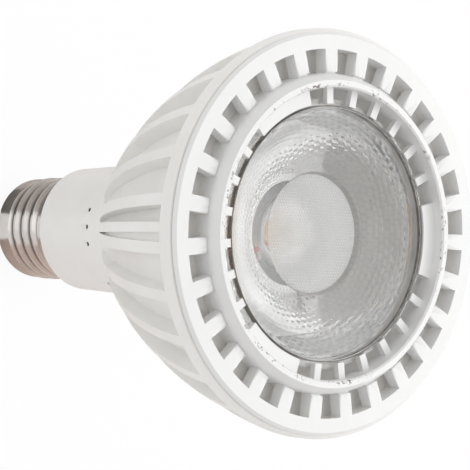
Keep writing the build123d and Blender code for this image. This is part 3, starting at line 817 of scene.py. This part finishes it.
class BULB_OT_lens(bpy.types.Operator):
    """Moulds the clear lens with its scale facets and its textured centre."""

    bl_idname = "bulb.lens"
    bl_label = "Lens"

    def side_stations(self, lens, start, end):
        """Stations of the flared side, from the flange down to the foot, with staggered scale facets."""
        chord = ((start[0] + end[0]) / 2, (start[1] + end[1]) / 2)
        middle = (chord[0] + lens.flare_bulge, chord[1] - lens.flare_bulge / 2)
        steps = lens.rows * lens.facet_steps
        points = arc_points(start, middle, end, steps)

        def station(i):
            radius, height = points[i]
            before, after = points[max(0, i - 1)], points[min(steps, i + 1)]
            along = Vector((after[0] - before[0], after[1] - before[1])).normalized()

            def place(turn):
                rise = lens.facet_rise * self.facet_share(lens, i, lens.columns * turn / TURN)
                return radius - along.y * rise, height + along.x * rise

            return place

        return [station(i) for i in range(steps + 1)]

    def facet_share(self, lens, i, turns):
        """Share of a scale facet's height: 1 at its crown and 0 at its edges."""
        row, step = divmod(i, lens.facet_steps)
        across = 2 * step / lens.facet_steps - 1
        column = 2 * ((turns + 0.5 * (row % 2)) % 1.0) - 1
        return (1 - across * across) * (1 - column * column)

    def mark_grooves(self, layer, lens, rows):
        """Keeps on each point of the flared side how near it lies to a facet's edge."""
        for i, row in enumerate(rows):
            for j, vert in enumerate(row):
                vert[layer] = 1 - self.facet_share(lens, i, j / lens.facet_steps)

    def cell_height(self, lens, x, y):
        """Height of the rounded hexagonal cells of the centre disc."""
        row_pitch = lens.cell_pitch * math.sqrt(3) / 2
        nearest = lens.cell_pitch
        row = round(y / row_pitch)
        for k in (row - 1, row, row + 1):
            offset = lens.cell_pitch / 2 * (k % 2)
            column = round((x - offset) / lens.cell_pitch)
            distance = math.hypot(x - offset - column * lens.cell_pitch, y - k * row_pitch)
            nearest = min(nearest, distance)
        return lens.cell_rise * (1 - (2 * nearest / lens.cell_pitch) ** 2)

    def close_disc(self, bm, lens, rim, level):
        """Fills the sunk centre with a fine lattice that carries the cells."""
        step = lens.cell_pitch / 4
        row_step = step * math.sqrt(3) / 2
        points = [Vector((v.co.x, v.co.y)) for v in rim]
        around = len(points)
        reach = int(lens.disc_radius / row_step) + 1
        for j in range(-reach, reach + 1):
            for i in range(-reach - 1, reach + 2):
                point = Vector((step * (i + 0.5 * (j % 2)), row_step * j))
                if point.length < lens.disc_radius - step:
                    points.append(point)
        edges = [(i, (i + 1) % around) for i in range(around)]
        places, _, faces, origins, _, _ = delaunay_2d_cdt(points, edges, [], 1, step * 1e-4)
        verts = []
        for place, origin in zip(places, origins):
            if origin and origin[0] < around:
                verts.append(rim[origin[0]])
            else:
                height = level + self.cell_height(lens, place.x, place.y)
                verts.append(bm.verts.new((place.x, place.y, height)))
        for face in faces:
            bm.faces.new([verts[i] for i in face])

    def execute(self, context):
        settings = context.scene.bulb
        lens = settings.lens
        rim_top, bottom, edge = LENS_HIGH.z, LENS_LOW.z, LENS_HIGH.x
        top = rim_top - lens.rim_height
        flange_top = rim_top - lens.flange_drop
        rim_bore = lens.rim_radius - lens.rim_width
        well_radius = lens.disc_radius + lens.well_draft
        dish_radius = rim_bore - lens.land
        dish_bottom = top - lens.dish_depth
        disc_level = dish_bottom - lens.well_depth
        dish_middle = ((dish_radius + well_radius) / 2, (top + dish_bottom) / 2 - lens.dish_sag)
        dish = arc_points((well_radius, dish_bottom), dish_middle, (dish_radius, top), lens.dish_steps)
        flange_bottom = flange_top - lens.flange
        side_start = (edge - lens.flange_width, flange_bottom)
        foot_top = bottom + lens.foot_height
        cavity_top = bottom + lens.cavity_depth
        front = [(lens.disc_radius, disc_level), *dish, (rim_bore, top), (rim_bore, rim_top)]
        front += [(lens.rim_radius, rim_top), (lens.rim_radius, flange_top)]
        front += [(edge, flange_top), (edge, flange_bottom)]
        side = self.side_stations(lens, side_start, (lens.foot_radius, foot_top))
        rear = [(lens.foot_radius, bottom), (lens.cavity_radius, bottom), (lens.cavity_radius, cavity_top)]
        for i in range(1, lens.crown_steps):
            turn = i / lens.crown_steps * QUARTER
            height = cavity_top + lens.cavity_crown * math.sin(turn)
            rear.append((lens.cavity_radius * math.cos(turn), height))
        stations = [plain(p) for p in front] + side + [plain(p) for p in rear]
        bm = bmesh.new()
        layer = bm.verts.layers.float.new("groove")
        rows = lathe(bm, stations, lens.columns * lens.facet_steps)
        self.mark_grooves(layer, lens, rows[len(front):len(front) + len(side)])
        self.close_disc(bm, lens, rows[0], disc_level)
        cap_ring(bm, rows[-1], cavity_top + lens.cavity_crown)
        piece = piece_from(bm, "lens_moulded", settings.casting.crease)
        piece.visible_shadow = False
        # The lens gets painted shade in its cells' valleys and on its rim's outer edge
        paint(piece, lens_finish(lens, disc_level, settings.finish.lens_rim_shade))
        stand_in(piece, "lens")
        return {"FINISHED"}


class BULB_OT_inner_pieces(bpy.types.Operator):
    """Finishes the emitter, its holder, the driver, the wires and the cap's insulator."""

    bl_idname = "bulb.inner_pieces"
    bl_label = "Emitter and driver"

    def spread_phosphor(self, settings):
        """Pours the phosphor layer over its dam, with a rounded edge."""
        emitter = settings.emitter
        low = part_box("led_phosphor")[0].z
        edge, top = emitter.spread - emitter.layer, low + emitter.layer
        inner_rings = (0.7, 0.35)
        outline = [(emitter.spread, low)]
        for i in range(1, emitter.edge_steps + 1):
            turn = i / emitter.edge_steps * QUARTER
            outline.append((edge + emitter.layer * math.cos(turn), low + emitter.layer * math.sin(turn)))
        outline += [(edge * share, top + emitter.crown * (1 - share ** 2)) for share in inner_rings]
        bm = bmesh.new()
        rows = lathe(bm, [plain(p) for p in outline], emitter.around)
        cap_ring(bm, rows[-1], top + emitter.crown)
        cap_ring(bm, rows[0], low)
        piece = piece_from(bm, "phosphor_layer", settings.casting.crease)
        paint(piece, phosphor_finish(settings.finish.phosphor))
        stand_in(piece, "led_phosphor")

    def execute(self, context):
        settings = context.scene.bulb
        casting = settings.casting
        materials = {
            "holder_screws": plated_finish("screw_steel", (0.42, 0.41, 0.40), 0.30),
            "driver_board": woven_finish("board_laminate", (0.10, 0.20, 0.07), thread=0.0004),
        }
        made = {}
        for node, (slot, *values) in SMALL_FINISHES.items():
            if slot not in made:
                made[slot] = mottled(slot, *values, variation=0.08, mottle=0.003).material
            materials[node] = made[slot]
        for node, material in materials.items():
            dress(node, material, casting.small_edge, casting.crease)
        self.spread_phosphor(settings)
        return {"FINISHED"}


class BULB_OT_stage(bpy.types.Operator):
    """Sets the camera, the lights and the white floor."""

    bl_idname = "bulb.stage"
    bl_label = "Stage"

    def add_camera(self, context, stage):
        """Camera at the photograph's viewing angle."""
        data = bpy.data.cameras.new("camera")
        data.sensor_width = stage.sensor_width
        data.lens = stage.focal_length
        data.clip_end = stage.clip_end
        camera = bpy.data.objects.new("camera", data)
        context.scene.collection.objects.link(camera)
        turn = Matrix.Rotation(stage.camera_turn, 3, "Y")
        tilt = Matrix.Rotation(stage.camera_tilt, 3, "X")
        roll = Matrix.Rotation(stage.camera_roll, 3, "Z")
        to_camera = roll @ tilt @ turn
        camera.matrix_world = Matrix.Translation(stage.camera_place) @ to_camera.transposed().to_4x4()
        context.scene.camera = camera

    def add_light(self, context, name, place, size, power):
        """A soft square light that faces the middle of the lamp's front."""
        data = bpy.data.lights.new(name, "AREA")
        data.size = size
        data.energy = power
        light = bpy.data.objects.new(name, data)
        light.location = place
        light.rotation_mode = "QUATERNION"
        ahead = Vector((0.0, 0.0, BEZEL_HIGH.z)) - Vector(place)
        light.rotation_quaternion = ahead.to_track_quat("-Z", "Y")
        context.scene.collection.objects.link(light)

    def add_card(self, context, name, corners, tint):
        """A flat card that only reflections show."""
        mesh = bpy.data.meshes.new(name)
        mesh.from_pydata(corners, [], [range(len(corners))])
        card = bpy.data.objects.new(name, mesh)
        context.scene.collection.objects.link(card)
        card.visible_camera = False
        card.visible_diffuse = False
        card.visible_transmission = False
        card.visible_shadow = False
        finish = Finish(name)
        finish.set(Base_Color=(*tint, 1.0), Roughness=0.9, Specular_IOR_Level=0.0)
        paint(card, finish.material)

    def add_cards(self, context):
        """Cards round the cap that give its plating dark, grey and warm reflections."""
        level = CAD_BOX[0].z - CARD_GAP
        near, wide, reach, side, top, far = 0.005, 0.030, 0.08, -0.007, 0.5, 0.3
        dark, grey, warm = (0.26, 0.24, 0.23), (0.60, 0.55, 0.53), (0.72, 0.58, 0.52)
        dark_shape = ((-reach, wide), (2 * side, near), (side, near), (side, reach))
        grey_shape = ((side, near), (reach, near), (reach, reach), (side, reach))
        warm_shape = ((-reach, -wide), (-reach, -reach), (reach, -reach), (reach, -near), (2 * side, -near))
        floor = (
            ("dark_floor_card", dark, dark_shape),
            ("grey_floor_card", grey, grey_shape),
            ("warm_floor_card", warm, warm_shape),
        )
        for name, tint, shape in floor:
            self.add_card(context, name, [(x, y, level) for x, y in shape], tint)
        for name, y, tint in (("grey_card", far, grey), ("warm_card", -far, warm)):
            corners = [(-top, y, level), (top, y, level), (top, y, top), (-top, y, top)]
            self.add_card(context, name, corners, tint)

    def seen_directly(self, tree):
        """A share that is 1 for rays from the camera, from reflections and through glass."""
        path = tree.nodes.new("ShaderNodeLightPath")
        share = path.outputs["Is Camera Ray"]
        for output in ("Is Glossy Ray", "Is Transmission Ray"):
            either = tree.nodes.new("ShaderNodeMath")
            either.operation = "MAXIMUM"
            tree.links.new(share, either.inputs[0])
            tree.links.new(path.outputs[output], either.inputs[1])
            share = either.outputs["Value"]
        return share

    def add_floor(self, context, stage):
        """White floor under the cap, which keeps a faint shadow."""
        height = CAD_BOX[0].z - FLOOR_GAP
        bpy.ops.mesh.primitive_plane_add(size=stage.floor_span, location=(0, 0, height))
        floor = context.active_object
        floor.name = "floor"
        material = bpy.data.materials.new("floor_white")
        material.use_nodes = True
        tree = material.node_tree
        shader = tree.nodes["Principled BSDF"]
        shader.inputs["Base Color"].default_value = (0.9, 0.9, 0.9, 1.0)
        shader.inputs["Roughness"].default_value = 0.9
        glow = tree.nodes.new("ShaderNodeEmission")
        share = tree.nodes.new("ShaderNodeMath")
        share.operation = "MULTIPLY"
        share.inputs[1].default_value = stage.floor_glow
        tree.links.new(self.seen_directly(tree), share.inputs[0])
        both = tree.nodes.new("ShaderNodeMixShader")
        tree.links.new(share.outputs["Value"], both.inputs["Fac"])
        tree.links.new(shader.outputs["BSDF"], both.inputs[1])
        tree.links.new(glow.outputs["Emission"], both.inputs[2])
        tree.links.new(both.outputs["Shader"], tree.nodes["Material Output"].inputs["Surface"])
        paint(floor, material)

    def add_world(self, context, stage):
        """White surroundings that light the lamp softly from all sides."""
        world = bpy.data.worlds.new("studio")
        world.use_nodes = True
        context.scene.world = world
        tree = world.node_tree
        back = tree.nodes["Background"]
        back.inputs["Color"].default_value = (1.0, 1.0, 1.0, 1.0)
        level = tree.nodes.new("ShaderNodeMapRange")
        level.inputs["To Min"].default_value = stage.fill
        level.inputs["To Max"].default_value = 1.0
        tree.links.new(self.seen_directly(tree), level.inputs["Value"])
        tree.links.new(level.outputs["Result"], back.inputs["Strength"])

    def execute(self, context):
        stage = context.scene.bulb.stage
        context.scene.view_settings.view_transform = "Standard"
        self.add_camera(context, stage)
        self.add_floor(context, stage)
        self.add_world(context, stage)
        lights = (
            ("key", (0.42, 0.40, 0.95), 0.8, stage.key_power),
            ("right", (0.95, 0.0, 0.60), 0.8, stage.right_power),
            ("side", (-0.95, 0.25, 0.30), 0.7, stage.side_power),
        )
        for name, place, size, power in lights:
            self.add_light(context, name, place, size, power)
        self.add_cards(context)
        return {"FINISHED"}


PIECE_OPERATORS = (
    BULB_OT_screw_cap,
    BULB_OT_neck,
    BULB_OT_heat_sink,
    BULB_OT_bezel,
    BULB_OT_lens,
    BULB_OT_inner_pieces,
    BULB_OT_stage,
)


class BULB_PT_sidebar(bpy.types.Panel):
    """Lists the steps that dress the bulb."""

    bl_idname = "BULB_PT_sidebar"
    bl_label = "Spotlight bulb"
    bl_space_type = "VIEW_3D"
    bl_region_type = "UI"
    bl_category = "Bulb"

    def draw(self, context):
        for operator in PIECE_OPERATORS:
            self.layout.operator(operator.bl_idname)


CLASSES = (
    ScrewCapSettings,
    LensSettings,
    CastingSettings,
    BezelSettings,
    EmitterSettings,
    VentSettings,
    FinishSettings,
    StageSettings,
    BulbSettings,
    *PIECE_OPERATORS,
    BULB_PT_sidebar,
)


def register():
    """Registers the settings, the steps and the panel."""
    for cls in CLASSES:
        bpy.utils.register_class(cls)
    bpy.types.Scene.bulb = PointerProperty(type=BulbSettings)


def unregister():
    """Removes what register added."""
    del bpy.types.Scene.bulb
    for cls in reversed(CLASSES):
        bpy.utils.unregister_class(cls)


def main():
    """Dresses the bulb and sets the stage."""
    register()
    bpy.ops.bulb.screw_cap()
    bpy.ops.bulb.neck()
    bpy.ops.bulb.heat_sink()
    bpy.ops.bulb.bezel()
    bpy.ops.bulb.lens()
    bpy.ops.bulb.inner_pieces()
    bpy.ops.bulb.stage()


if __name__ == "__main__":
    main()
